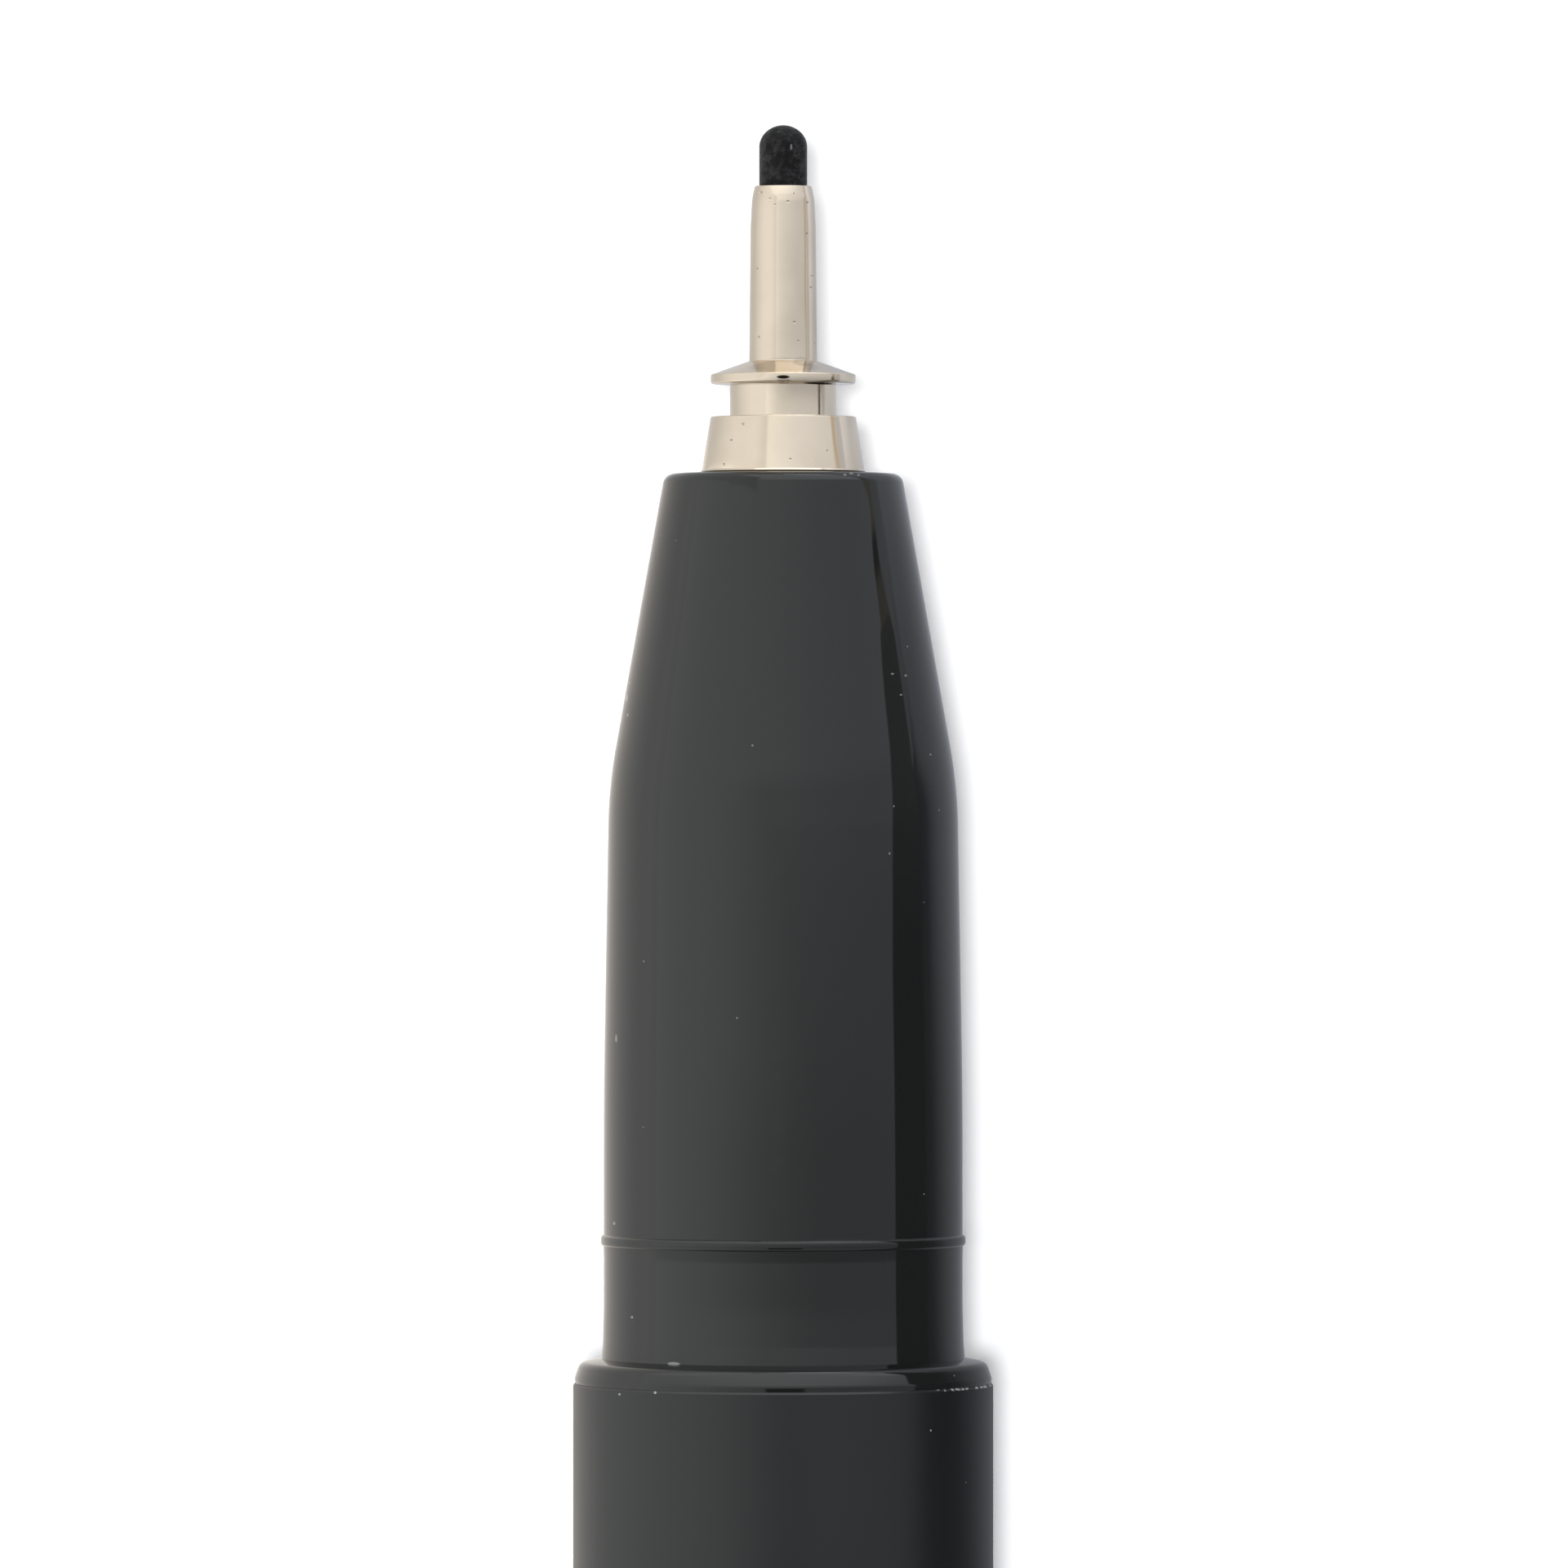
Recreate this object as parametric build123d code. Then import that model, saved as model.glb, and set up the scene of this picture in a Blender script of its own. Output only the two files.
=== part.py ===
from build123d import *
import os
from math import asin, atan2, degrees, hypot, radians, sin

# A fineliner pen lying on its side, nib uncovered, with its cap posted on the tail.
# The pen's axis is the Y axis, the nib points along +Y, and Y = 0 is the seam between the front
# section and the barrel. Turned and moulded pieces are half profiles in the XY plane, where X is
# the radius, spun about the Y axis. All lengths are in millimetres and all angles in degrees.

# Fits
press_gap = 0.01            # radial gap of pieces that are pressed together
slip_gap = 0.05             # gap around pieces that are slipped in
snap_gap = 0.03             # radial gap between a snap bead and the ring that passes over it

# Barrel: a plain satin tube with long ribs inside that centre the reservoir
barrel_diameter = 10.5
barrel_length = 85.0
barrel_wall = 0.9
barrel_edge_chamfer = 0.06
barrel_rib_count = 6
barrel_rib_width = 0.7
barrel_rib_clearance = 2.0  # axial room between the ribs and the pieces pressed into both ends

# Seat that the cap snaps on, the same on the front section and on the tail plug
seat_diameter = 8.97
seam_step = 0.06            # the barrel stands this much proud of the shoulder
flare_width = 0.085
flare_height = 0.55
bead_offset = 3.49          # from the seam to the middle of the snap bead
bead_width = 0.40
bead_height = 0.075

# Front section: a glossy moulding with a long nose cone
section_length = 22.76      # from the seam to the nose face
swell_start = 7.15          # from the seam to where the straight land turns into the slight taper
swell_radius = 160.0
nose_diameter = 5.94
nose_length = 7.89
nose_bend_diameter = 8.714
nose_bend_radius = 12.5
nose_rim_radius = 0.22
section_spigot_length = 10.0
spigot_lead = 0.5
holder_socket_length = 6.2
nose_chamber_diameter = 5.0
reservoir_stop = 12.0       # from the seam to the ledge that stops the reservoir

# Nib holder: turned nickel silver with a swaged tube, a flange, a groove and a tapered collar
collar_base_diameter = 4.08
collar_top_diameter = 3.63
collar_height = 1.35
groove_diameter = 2.66
groove_height = 0.82
flange_diameter = 3.62
flange_rim_height = 0.27
flange_slope_height = 0.34
flange_edge_chamfer = 0.04
tube_base_diameter = 1.70
tube_top_diameter = 1.63
tube_length = 4.36
swage_length = 0.80
mouth_diameter = 1.36
holder_spigot_diameter = 3.50
holder_spigot_length = 5.40
holder_chamber_diameter = 2.20
holder_chamber_length = 3.00
grip_ring_count = 3
grip_ring_pitch = 1.20
grip_ring_width = 0.45
grip_ring_depth = 0.12

# Nib: a porous rod with a domed point, pushed into the reservoir at the back
nib_diameter = 1.20
nib_showing = 1.50
nib_dome_height = 0.55
nib_dome_fullness = 0.5523  # length of the dome curve's handles; this value makes a quarter ellipse
nib_soak_length = 6.0       # how far the nib reaches into the reservoir
nib_spike_length = 1.5
nib_spike_diameter = 0.5
nib_gap = 0.015

# Reservoir: a rod of fibre wrapped in clear film
reservoir_diameter = 6.60
film_thickness = 0.10

# Tail plug: closes the barrel and carries the posted cap
plug_depth = 8.0
plug_cavity_diameter = 5.2
post_length = 11.5
post_end_radius = 1.2
post_end_wall = 1.2

# Cap: a drafted moulding, open at the mouth, with a socket for its crown at the other end
cap_length = 38.0
cap_mouth_diameter = 10.5
cap_end_diameter = 10.1
cap_edge_chamfer = 0.15
cap_bore_length = 20.0
cap_lead = 0.12             # chamfer inside the mouth
snap_ring_width = 0.40
snap_ring_height = 0.06
cap_end_wall = 1.0
crown_socket_length = 3.7
crown_socket_diameter = 8.0

# Inner cap: a soft cup that seals on the nose cone when the cap is on the nib end
inner_cap_diameter = 8.5
inner_cap_bore = 6.6
inner_cap_floor = 1.0
inner_cap_lip_radius = 0.3
vent_flute_count = 4
vent_flute_width = 1.2
vent_flute_depth = 0.35

# Crown: the button that closes the cap and traps the clip
crown_diameter = 10.0
crown_height = 1.9
crown_flat_diameter = 6.4
crown_rim_height = 0.7
crown_stem_length = 3.2

# Clip: one strip of sprung metal, hooked into the cap's end
clip_thickness = 0.7
clip_root_width = 4.8
clip_tip_width = 4.0
clip_gap = 1.0              # clear room for cloth between the clip and the cap
clip_bend_radius = 0.5      # inside the hook
clip_tab_reach = 2.0        # how far the hook reaches in from the cap's end radius
clip_tip_depth = 5.2        # from the cap's mouth to the turned-up tip
clip_touch_depth = 7.6      # from the cap's mouth to where the clip touches the cap
clip_straight_depth = 12.0  # from the cap's mouth to where the clip starts to dip
clip_tip_lift = 0.9
clip_dip_radius = 6.0
clip_touch_radius = 1.2
clip_opening = 4.0          # how far the clip springs open, in degrees

# Sizes that follow from the ones above
barrel_radius = barrel_diameter / 2
barrel_bore_radius = barrel_radius - barrel_wall
plugged_radius = barrel_bore_radius - press_gap
seat_radius = seat_diameter / 2
shoulder_radius = barrel_radius - seam_step
shoulder_round = shoulder_radius - seat_radius - flare_width
bead_radius = seat_radius + bead_height
bead_end = bead_offset + bead_width / 2
reservoir_radius = reservoir_diameter / 2
core_radius = reservoir_radius - film_thickness - press_gap
nib_radius = nib_diameter / 2
nib_bore_radius = nib_radius + nib_gap
nib_back = reservoir_stop - nib_soak_length
collar_top = section_length + collar_height
groove_top = collar_top + groove_height
flange_top = groove_top + flange_rim_height
tube_base = flange_top + flange_slope_height
holder_mouth = tube_base + tube_length
nib_point = holder_mouth + nib_showing
reservoir_back = plug_depth - barrel_length
cap_end_radius = cap_end_diameter / 2
snap_ring_radius = bead_radius + snap_gap
cap_bore_radius = snap_ring_radius + snap_ring_height
inner_cap_radius = inner_cap_diameter / 2
end_wall_front = cap_length - crown_socket_length - cap_end_wall
crown_stem_radius = crown_socket_diameter / 2 - press_gap
clip_arm_radius = cap_mouth_diameter / 2 + clip_gap + clip_thickness / 2
clip_hook_radius = clip_bend_radius + clip_thickness / 2
clip_tab_depth = cap_length - slip_gap - clip_thickness / 2
clip_hinge_radius = clip_arm_radius - clip_hook_radius
clip_hinge_depth = clip_tab_depth - clip_hook_radius
clip_tab_end = cap_end_radius - clip_tab_reach
clip_swing = (clip_hinge_radius - clip_tab_end) * sin(radians(clip_opening))
clip_slot_floor = clip_tab_depth - clip_thickness / 2 - clip_swing - slip_gap
clip_slot_half_width = clip_root_width / 2 + slip_gap

# The pen rests on the barrel and on one long edge of the clip, which sets how far the cap is turned.
clip_outer_radius = clip_arm_radius + clip_thickness / 2
clip_corner_radius = hypot(clip_outer_radius, clip_root_width / 2)
clip_corner_angle = atan2(clip_root_width / 2, clip_outer_radius)
clip_roll = degrees(asin((barrel_radius - slip_gap / 2) / clip_corner_radius) - clip_corner_angle)

# Where the cap's own frame sits when the cap is posted: mouth on the plug's shoulder, crown to the rear
cap_mouth_place = -(barrel_length + shoulder_round + slip_gap / 2)
posted = Pos(0, cap_mouth_place, 0) * Rot(0, clip_roll, 0) * Rot(180, 0, 0)
tail_place = Pos(0, -barrel_length, 0) * Rot(180, 0, 0)


def spun(*lines):
    """Spins the closed half profile that the lines make about the pen's axis."""
    return revolve(make_face([edge for line in lines for edge in line.edges()]), Axis.Y)


def rounded(face, corner, radius):
    """Rounds the corner of a flat profile that lies nearest to a point."""
    return fillet(face.vertices().sort_by_distance(corner)[0], radius)


def bevelled(face, corner, size):
    """Takes the sharp edge off the corner of a flat profile that lies nearest to a point."""
    return chamfer(face.vertices().sort_by_distance(corner)[0], size)


def around(count, piece):
    """Copies of a piece, evenly spaced about the pen's axis."""
    return [Rot(0, 360 / count * turn, 0) * piece for turn in range(count)]


def cap_seat():
    """The shoulder, root flare and snap bead that a cap seats on, from the seam upwards."""
    shoulder_foot = (shoulder_radius, 0)
    shoulder_top = (shoulder_radius - shoulder_round, shoulder_round)
    flare_top = (seat_radius, shoulder_round + flare_height)
    bead_foot = (seat_radius, bead_offset - bead_width / 2)
    bead_crest = (bead_radius, bead_offset)
    return [
        TangentArc(shoulder_foot, shoulder_top, tangent=(0, 1)),
        TangentArc(flare_top, shoulder_top, tangent=(0, -1)),
        Line(flare_top, bead_foot),
        ThreePointArc(bead_foot, bead_crest, (seat_radius, bead_end)),
    ]


def make_barrel():
    """A straight tube with its edges broken, and ribs along its bore between the pressed-in ends."""
    wall = make_face(Polyline(
        (barrel_bore_radius, 0),
        (barrel_radius, 0),
        (barrel_radius, -barrel_length),
        (barrel_bore_radius, -barrel_length),
        close=True,
    ))
    wall = bevelled(wall, (barrel_radius, 0), barrel_edge_chamfer)
    wall = bevelled(wall, (barrel_radius, -barrel_length), barrel_edge_chamfer)
    rib_front = -section_spigot_length - barrel_rib_clearance
    rib_back = reservoir_back + barrel_rib_clearance
    rib_inner = reservoir_radius + slip_gap
    rib_outer = barrel_bore_radius + barrel_wall / 2
    rib = Pos((rib_inner + rib_outer) / 2, (rib_front + rib_back) / 2, 0) * Box(
        rib_outer - rib_inner, rib_front - rib_back, barrel_rib_width
    )
    return revolve(wall, Axis.Y) + around(barrel_rib_count, rib)


def make_front_section():
    """The grip moulding: cap seat, slight taper, nose cone, holder socket, chamber and spigot."""
    swell_corner = (seat_radius, swell_start)
    nose_bend = (nose_bend_diameter / 2, section_length - nose_length)
    nose_rim = (nose_diameter / 2, section_length)
    socket_radius = holder_spigot_diameter / 2 + press_gap
    socket_floor = section_length - holder_socket_length
    chamber_radius = nose_chamber_diameter / 2
    bore_radius = reservoir_radius + slip_gap
    outside = [
        *cap_seat(),
        Polyline((seat_radius, bead_end), swell_corner, nose_bend, nose_rim),
    ]
    inside = Polyline(
        nose_rim,
        (socket_radius, section_length),
        (socket_radius, socket_floor),
        (chamber_radius, socket_floor),
        (chamber_radius, reservoir_stop),
        (bore_radius, reservoir_stop),
        (bore_radius, -section_spigot_length),
        (plugged_radius - spigot_lead / 2, -section_spigot_length),
        (plugged_radius, -section_spigot_length + spigot_lead),
        (plugged_radius, 0),
        (shoulder_radius, 0),
    )
    profile = make_face([edge for line in [*outside, inside] for edge in line.edges()])
    profile = rounded(profile, swell_corner, swell_radius)
    profile = rounded(profile, nose_bend, nose_bend_radius)
    profile = rounded(profile, nose_rim, nose_rim_radius)
    return revolve(profile, Axis.Y)


def make_nib_holder():
    """The turned metal point: grooved spigot, collar, groove, sloped flange and swaged tube."""
    spigot_radius = holder_spigot_diameter / 2
    spigot_back = section_length - holder_spigot_length
    chamber_radius = holder_chamber_diameter / 2
    flange_radius = flange_diameter / 2
    swage_foot = (tube_top_diameter / 2, holder_mouth - swage_length)
    mouth_rim = (mouth_diameter / 2, holder_mouth)
    outside = Polyline(
        (spigot_radius, spigot_back),
        (spigot_radius, section_length),
        (collar_base_diameter / 2, section_length),
        (collar_top_diameter / 2, collar_top),
        (groove_diameter / 2, collar_top),
        (groove_diameter / 2, groove_top),
        (flange_radius, groove_top),
        (flange_radius, flange_top),
        (tube_base_diameter / 2, tube_base),
        swage_foot,
    )
    swage = TangentArc(swage_foot, mouth_rim, tangent=(0, 1))
    inside = Polyline(
        mouth_rim,
        (nib_bore_radius, holder_mouth),
        (nib_bore_radius, spigot_back + holder_chamber_length),
        (chamber_radius, spigot_back + holder_chamber_length),
        (chamber_radius, spigot_back),
        (spigot_radius, spigot_back),
    )
    profile = make_face([*outside.edges(), *swage.edges(), *inside.edges()])
    for corner in [(flange_radius, groove_top), (flange_radius, flange_top)]:
        profile = bevelled(profile, corner, flange_edge_chamfer)
    holder = revolve(profile, Axis.Y)
    for ring in range(grip_ring_count):
        ring_place = section_length - (ring + 1) * grip_ring_pitch
        holder -= Pos(0, ring_place, 0) * Rot(90, 0, 0) * (
            Cylinder(spigot_radius + grip_ring_depth, grip_ring_width)
            - Cylinder(spigot_radius - grip_ring_depth, grip_ring_width)
        )
    return holder


def nib_outline(extra):
    """Half profile of the nib's back end, wider all round by extra, up to the reservoir's front."""
    return [
        (0, nib_back - extra),
        (nib_spike_diameter / 2 + extra, nib_back - extra),
        (nib_radius + extra, nib_back + nib_spike_length),
    ]


def make_nib():
    """A straight rod with a spike at the back and an elliptical dome at the point."""
    dome_base = nib_point - nib_dome_height
    rod = Polyline(*nib_outline(0), (nib_radius, dome_base))
    dome = Bezier(
        (nib_radius, dome_base),
        (nib_radius, dome_base + nib_dome_fullness * nib_dome_height),
        (nib_dome_fullness * nib_radius, nib_point),
        (0, nib_point),
    )
    return spun(rod, dome, Line((0, nib_point), (0, nib_back)))


def make_reservoir_core():
    """A fibre rod, pierced at the front by the nib's spike."""
    pierced = nib_outline(nib_gap)
    return spun(Polyline(
        *pierced,
        (nib_bore_radius, reservoir_stop),
        (core_radius, reservoir_stop),
        (core_radius, reservoir_back),
        (0, reservoir_back),
        close=True,
    ))


def make_reservoir_film():
    """The clear sleeve wrapped round the fibre, open at both ends."""
    film_inside = reservoir_radius - film_thickness
    return spun(Polyline(
        (film_inside, reservoir_stop),
        (reservoir_radius, reservoir_stop),
        (reservoir_radius, reservoir_back),
        (film_inside, reservoir_back),
        close=True,
    ))


def make_tail_plug():
    """A cup-shaped plug: inside the barrel it stops the reservoir, outside it is the cap's post."""
    cavity_radius = plug_cavity_diameter / 2
    end_round_foot = (seat_radius, post_length - post_end_radius)
    end_round_top = (seat_radius - post_end_radius, post_length)
    inside = Polyline(
        end_round_top,
        (0, post_length),
        (0, post_length - post_end_wall),
        (cavity_radius, post_length - post_end_wall),
        (cavity_radius, -plug_depth),
        (plugged_radius - spigot_lead / 2, -plug_depth),
        (plugged_radius, -plug_depth + spigot_lead),
        (plugged_radius, 0),
        (shoulder_radius, 0),
    )
    return tail_place * spun(
        *cap_seat(),
        Line((seat_radius, bead_end), end_round_foot),
        TangentArc(end_round_foot, end_round_top, tangent=(0, 1)),
        inside,
    )


def clip_slot():
    """The room that the clip's hook needs at the cap's end, with space for it to swing."""
    slot_inner = clip_tab_end - 2 * slip_gap
    slot_length = cap_length - clip_slot_floor
    slot_reach = clip_outer_radius - slot_inner
    return Pos(slot_inner + slot_reach / 2, clip_slot_floor + slot_length / 2, 0) * Box(
        slot_reach, slot_length, 2 * clip_slot_half_width
    )


def make_cap_shell():
    """The outer cap: drafted outside, snap ring in the mouth, inner cap seat, end wall and socket."""
    mouth_radius = cap_mouth_diameter / 2
    seat_bore = inner_cap_radius + press_gap
    socket_radius = crown_socket_diameter / 2
    bead_depth = bead_offset - shoulder_round - slip_gap / 2
    ring_end = bead_depth - bead_width / 2
    ring_start = ring_end - snap_ring_width
    mouth = Polyline(
        (cap_bore_radius, ring_start),
        (cap_bore_radius, cap_lead),
        (cap_bore_radius + cap_lead, 0),
        (mouth_radius, 0),
        (cap_end_radius, cap_length),
        (socket_radius, cap_length),
        (socket_radius, cap_length - crown_socket_length),
        (0, cap_length - crown_socket_length),
        (0, end_wall_front),
        (seat_bore, end_wall_front),
        (seat_bore, cap_bore_length),
        (cap_bore_radius, cap_bore_length),
        (cap_bore_radius, ring_end),
    )
    ring_crest = (snap_ring_radius, (ring_start + ring_end) / 2)
    ring = ThreePointArc((cap_bore_radius, ring_start), ring_crest, (cap_bore_radius, ring_end))
    profile = make_face([*mouth.edges(), *ring.edges()])
    profile = bevelled(profile, (mouth_radius, 0), cap_edge_chamfer)
    return posted * (revolve(profile, Axis.Y) - clip_slot())


def make_inner_cap():
    """A sealing cup with a rounded lip, fluted outside so that air can pass it."""
    bore_radius = inner_cap_bore / 2
    lip_depth = cap_bore_length + slip_gap
    wall = make_face(Polyline(
        (bore_radius, lip_depth),
        (inner_cap_radius, lip_depth),
        (inner_cap_radius, end_wall_front),
        (0, end_wall_front),
        (0, end_wall_front - inner_cap_floor),
        (bore_radius, end_wall_front - inner_cap_floor),
        close=True,
    ))
    wall = rounded(wall, (bore_radius, lip_depth), inner_cap_lip_radius)
    flute_length = end_wall_front - lip_depth
    flute = Pos(inner_cap_radius, lip_depth + flute_length / 2, 0) * Box(
        2 * vent_flute_depth, flute_length, vent_flute_width
    )
    return posted * (revolve(wall, Axis.Y) - around(vent_flute_count, flute))


def make_crown():
    """A domed button whose stem is pressed into the cap's end, slotted for the clip's hook."""
    rim_radius = crown_diameter / 2
    stem_back = cap_length - crown_stem_length
    dome_foot = (rim_radius, cap_length + crown_rim_height)
    dome_top = (crown_flat_diameter / 2, cap_length + crown_height)
    dome = TangentArc(dome_top, dome_foot, tangent=(1, 0))
    body = Polyline(
        dome_top,
        (0, cap_length + crown_height),
        (0, stem_back),
        (crown_stem_radius, stem_back),
        (crown_stem_radius, cap_length),
        (rim_radius, cap_length),
        dome_foot,
    )
    return posted * (spun(dome, body) - clip_slot())


def make_clip():
    """A bent strip: hook, straight arm, dip that touches the cap and turned-up round tip."""
    touch_radius = cap_mouth_diameter / 2 + slip_gap + clip_thickness / 2
    middle = FilletPolyline(
        (clip_tab_end, clip_tab_depth),
        (clip_arm_radius, clip_tab_depth),
        (clip_arm_radius, clip_straight_depth),
        (touch_radius, clip_touch_depth),
        (touch_radius + clip_tip_lift, clip_tip_depth),
        radius=(clip_hook_radius, clip_dip_radius, clip_touch_radius),
    )
    strip = extrude(trace(middle, clip_thickness), clip_root_width / 2, both=True)
    tip_half = clip_tip_width / 2
    root_half = clip_root_width / 2
    plan = make_face([
        Line((cap_length, -root_half), (cap_length, root_half)),
        Line((cap_length, root_half), (clip_tip_depth + tip_half, tip_half)),
        ThreePointArc(
            (clip_tip_depth + tip_half, tip_half),
            (clip_tip_depth, 0),
            (clip_tip_depth + tip_half, -tip_half),
        ),
        Line((clip_tip_depth + tip_half, -tip_half), (cap_length, -root_half)),
    ])
    blank = extrude(Plane.YZ * plan, clip_outer_radius + clip_tip_lift)
    return posted * (strip & blank)


pieces = {
    "nib": make_nib,
    "nib_holder": make_nib_holder,
    "front_section": make_front_section,
    "reservoir_core": make_reservoir_core,
    "reservoir_film": make_reservoir_film,
    "barrel": make_barrel,
    "tail_plug": make_tail_plug,
    "cap_shell": make_cap_shell,
    "inner_cap": make_inner_cap,
    "cap_crown": make_crown,
    "clip": make_clip,
}

os.makedirs("parts", exist_ok=True)
for name, make in pieces.items():
    export_step(make(), f"parts/{name}.step")
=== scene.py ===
import bpy
import numpy as np
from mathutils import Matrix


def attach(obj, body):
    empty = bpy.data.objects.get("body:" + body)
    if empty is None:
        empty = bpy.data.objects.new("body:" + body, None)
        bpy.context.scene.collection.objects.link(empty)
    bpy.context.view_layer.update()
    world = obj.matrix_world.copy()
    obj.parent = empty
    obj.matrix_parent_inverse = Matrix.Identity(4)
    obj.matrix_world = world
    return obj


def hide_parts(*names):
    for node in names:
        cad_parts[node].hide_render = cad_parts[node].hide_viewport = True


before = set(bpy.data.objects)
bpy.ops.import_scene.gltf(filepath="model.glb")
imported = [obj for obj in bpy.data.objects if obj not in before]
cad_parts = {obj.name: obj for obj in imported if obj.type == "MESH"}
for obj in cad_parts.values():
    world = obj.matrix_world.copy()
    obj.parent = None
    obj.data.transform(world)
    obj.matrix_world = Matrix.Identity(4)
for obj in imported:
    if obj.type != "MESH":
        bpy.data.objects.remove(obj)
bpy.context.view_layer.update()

# Front section: one injection moulding in glossy black plastic, with the nose cone, the slight
# swell of the grip, the bead that the cap snaps over and the rounded shoulder. Its spigot is
# pressed into the barrel's front end.
MM = 0.001


def bend(start, end, leaving, steps=14):
    """Arc in the plane of a half profile, where a point is radius + 1j * place.

    The chord from the start to the point at fraction f of the arc is turned from the leaving
    direction by f times the whole chord's turn, and its length follows the sine of that turn.
    """
    chord = end - start
    whole = np.angle(chord / leaving)
    turn = whole * np.linspace(0, 1, steps + 1)
    return start + leaving * np.exp(1j * turn) * abs(chord) * np.sin(turn) / np.sin(whole)


def outline(*corners):
    """Half profile through corners written (radius, place, round), as complex numbers.

    A rounded corner becomes the arc that touches both straight runs, each at the distance of the
    rounding times the tangent of half the corner's turn.
    """
    spots = np.array([radius + 1j * place for radius, place, _ in corners])
    arriving = spots - np.roll(spots, 1)
    leaving = np.roll(spots, -1) - spots
    arriving = arriving / abs(arriving)
    leaving = leaving / abs(leaving)
    reach = [corner[2] for corner in corners] * np.tan(abs(np.angle(leaving / arriving)) / 2)
    runs = [
        bend(spot - far * come, spot + far * go, come) if far else np.array([spot])
        for spot, far, come, go in zip(spots, reach, arriving, leaving)
    ]
    return np.concatenate(runs)


def divided(profile, longest=2.0):
    """The same profile with no point twice, and with long runs cut into equal lengths."""
    profile = profile[np.append(True, abs(np.diff(profile)) > 1e-6)]
    count = np.ceil(abs(np.diff(profile)) / longest).astype(int)
    first = np.repeat(np.arange(len(count)), count)
    part = np.arange(count.sum()) - np.repeat(np.cumsum(count) - count, count)
    between = profile[first] + np.diff(profile)[first] * part / count[first]
    return np.append(between, profile[-1])


def meshed(name, points, faces):
    """A piece from points in millimetres, smooth except where its faces meet at a clear angle."""
    mesh = bpy.data.meshes.new(name)
    mesh.from_pydata((points * MM).tolist(), [], faces)
    mesh.validate()
    mesh.shade_smooth()
    mesh.set_sharp_from_angle(angle=np.radians(32))
    piece = bpy.data.objects.new(name, mesh)
    bpy.context.collection.objects.link(piece)
    return piece


full_turn = np.linspace(0, 2 * np.pi, 256, endpoint=False)


def turned(name, profile, angle=full_turn):
    """Surface of revolution: radius r, place y and angle a give the point (r sin a, y, r cos a).

    A profile is one row of points, or a grid with a column for each angle, and follows the piece
    up its outside. One that starts and ends on the axis closes in two single points there; any
    other one joins its last row to its first.
    """
    profile = profile if profile.ndim == 2 else profile[:, None]
    profile, angle = np.broadcast_arrays(profile, angle)
    radius = profile.real
    points = np.stack([radius * np.sin(angle), profile.imag, radius * np.cos(angle)], axis=-1)
    number = np.arange(radius.size).reshape(radius.shape)
    ring = radius[0, 0] > 0
    if not ring:
        number[0] = number[0, 0]
        number[-1] = number[-1, 0]
    above = np.roll(number, -1, axis=0)
    quads = np.stack([number, np.roll(number, -1, 1), np.roll(above, -1, 1), above], axis=-1)
    quads = quads if ring else quads[:-1]
    used, quads = np.unique(quads, return_inverse=True)
    quads = quads.reshape(-1, 4)
    foot = quads[:, 0] == quads[:, 1]
    tip = quads[:, 2] == quads[:, 3]
    faces = quads[~foot & ~tip].tolist() + quads[foot][:, 1:].tolist() + quads[tip][:, :3].tolist()
    return meshed(name, points.reshape(-1, 3)[used], faces)


shoulder_radius = 5.215
seat_radius = 4.485
bead_place = 3.5275
bead_half_width = 0.1425
bead_height = 0.073
run_out_start = 3.09
run_out_length = 0.29
run_out_height = 0.0085
# The bead's height is one less the fourth power of the distance from its crest, so its top is
# flat and its sides are steep; behind it the surface runs out evenly, by a hair.
along_bead = np.r_[
    np.linspace(3.06, 3.36, 16),
    np.linspace(3.38, 3.68, 45),
    np.linspace(3.69, 3.75, 4),
]
from_crest = (along_bead - bead_place) / bead_half_width
behind_bead = np.clip((along_bead - run_out_start) / run_out_length, 0, 1)
behind_bead = behind_bead * (along_bead < bead_place)
bead_rise = np.maximum(bead_height * (1 - from_crest**4), run_out_height * behind_bead**1.25)
bead = seat_radius + bead_rise + 1j * along_bead


def seat_for_cap(seam):
    """Half profile of the cap's seat, from the seam at the given place to the bead."""
    shoulder = outline(
        (5.197, seam, 0),
        (shoulder_radius, 0.08, 0.2),
        (5.085, 0.47, 0.25),
        (4.545, 0.58, 0),
        (4.51, 0.95, 3),
        (seat_radius, 1.9, 20),
        (seat_radius, 2.9, 0),
    )
    return np.r_[shoulder, bead]


past_bead = 3.9
seam_place = -0.045
nose_end = 22.685
nose_radius = 2.965
swell_radius = 4.357
nose_bore = 1.76
holder_stop = 16.56
rod_stop = 12.0
rod_bore = 3.35
press_radius = 4.34
lead_in_radius = 4.09
section_profile = divided(np.r_[
    seat_for_cap(seam_place),
    outline(
        (seat_radius, past_bead, 0),
        (seat_radius, 7.15, 160),
        (swell_radius, 14.87, 12.5),
        (nose_radius, nose_end, 0.28),
        (nose_bore, nose_end, 0),
        (nose_bore, holder_stop, 0),
        (2.5, holder_stop, 0),
        (2.5, rod_stop, 0),
        (rod_bore, rod_stop, 0),
        (rod_bore, -10, 0),
        (lead_in_radius, -10, 0),
        (press_radius, -9.5, 0),
        (press_radius, seam_place, 0),
    ),
])
section = turned("section_moulding", section_profile)


def finish(name):
    """A new material: itself, its node tree, its surface shader, and the places on its piece."""
    material = bpy.data.materials.new(name)
    material.use_nodes = True
    tree = material.node_tree
    place = tree.nodes.new("ShaderNodeTexCoord").outputs["Object"]
    return material, tree, tree.nodes["Principled BSDF"], place


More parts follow.
